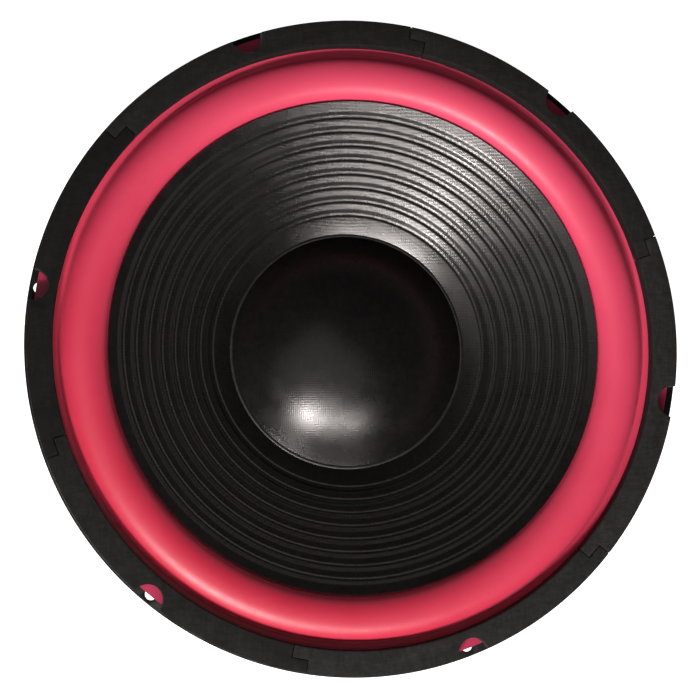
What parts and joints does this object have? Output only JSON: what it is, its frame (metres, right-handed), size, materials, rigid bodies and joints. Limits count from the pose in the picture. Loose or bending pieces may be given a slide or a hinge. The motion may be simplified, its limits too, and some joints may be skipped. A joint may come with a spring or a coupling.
{
  "type": "car subwoofer driver",
  "caption": "Round car subwoofer driver with a ribbed black cone, domed dust cap, red-pink half-roll surround, segmented gasket, stamped basket, magnet and push terminals.",
  "frame": {"origin": "centre of the rubber boot's back face, which the driver rests on", "axes": "+Z out of the cone towards the listener; +X to the right and +Y to the top of the front view"},
  "size_m": [0.31, 0.31, 0.1392],
  "materials": {
    "boot_rubber": "matt moulded rubber",
    "zinc_steel": "turned steel with clear zinc plating",
    "screen_steel": "punched steel sheet",
    "ferrite": "ground sintered ferrite",
    "basket_paint": "semi-gloss black powder coat on stamped steel",
    "gasket_fibre": "dull black pressed fibre",
    "surround_foam": "pink-red satin foam",
    "cone_paper": "black pressed paper with a fine cloth imprint",
    "cap_paper": "black lacquered paper with a weave imprint",
    "spider_cloth": "resin-stiffened open-weave cotton",
    "former_film": "brown polyimide film",
    "coil_wire": "lacquered copper wire",
    "board_plastic": "moulded black plastic",
    "nickel": "nickel-plated brass",
    "button_red": "glossy red plastic",
    "button_black": "glossy black plastic",
    "spring_steel": "bright spring wire",
    "tinsel_braid": "braided copper tinsel over cotton"
  },
  "bodies": {
    "frame": {"magnet_boot": "boot_rubber", "yoke": "zinc_steel", "vent_screen": "screen_steel", "magnet": "ferrite", "top_plate": "zinc_steel", "basket": "basket_paint", "surround": "surround_foam", "spider": "spider_cloth", "terminal_board": "board_plastic", "terminal_rivet_1": "nickel", "terminal_rivet_2": "nickel", "terminal_post_positive": "nickel", "terminal_post_negative": "nickel", "button_spring_positive": "spring_steel", "button_spring_negative": "spring_steel", "tinsel_lead_positive": "tinsel_braid", "tinsel_lead_negative": "tinsel_braid", "gasket_segment_1": "gasket_fibre", "gasket_segment_2": "gasket_fibre", "gasket_segment_3": "gasket_fibre", "gasket_segment_4": "gasket_fibre", "gasket_segment_5": "gasket_fibre", "gasket_segment_6": "gasket_fibre", "basket_rivet_1": "zinc_steel", "basket_rivet_2": "zinc_steel", "basket_rivet_3": "zinc_steel", "basket_rivet_4": "zinc_steel"},
    "cone_assembly": {"cone": "cone_paper", "dust_cap": "cap_paper", "voice_coil_former": "former_film", "voice_coil_winding": "coil_wire", "lead_eyelet_positive": "nickel", "lead_eyelet_negative": "nickel"},
    "positive_button": {"push_button_positive": "button_red"},
    "negative_button": {"push_button_negative": "button_black"}
  },
  "joints": [
    {"name": "cone_travel", "type": "slide", "parent": "frame", "child": "cone_assembly", "axis": [0, 0, 1], "range_m": [-0.01, 0.01], "stiffness_N_per_m": 2800, "deforming": ["surround", "spider", "tinsel_lead_positive", "tinsel_lead_negative"]},
    {"name": "positive_button_press", "type": "slide", "parent": "frame", "child": "positive_button", "axis": [0.114, 0.6814, 0.723], "range_m": [0, 0.004], "stiffness_N_per_m": 900, "springref_m": -0.003, "deforming": ["button_spring_positive"]},
    {"name": "negative_button_press", "type": "slide", "parent": "frame", "child": "negative_button", "axis": [0.114, 0.6814, 0.723], "range_m": [0, 0.004], "stiffness_N_per_m": 900, "springref_m": -0.003, "deforming": ["button_spring_negative"]}
  ]
}
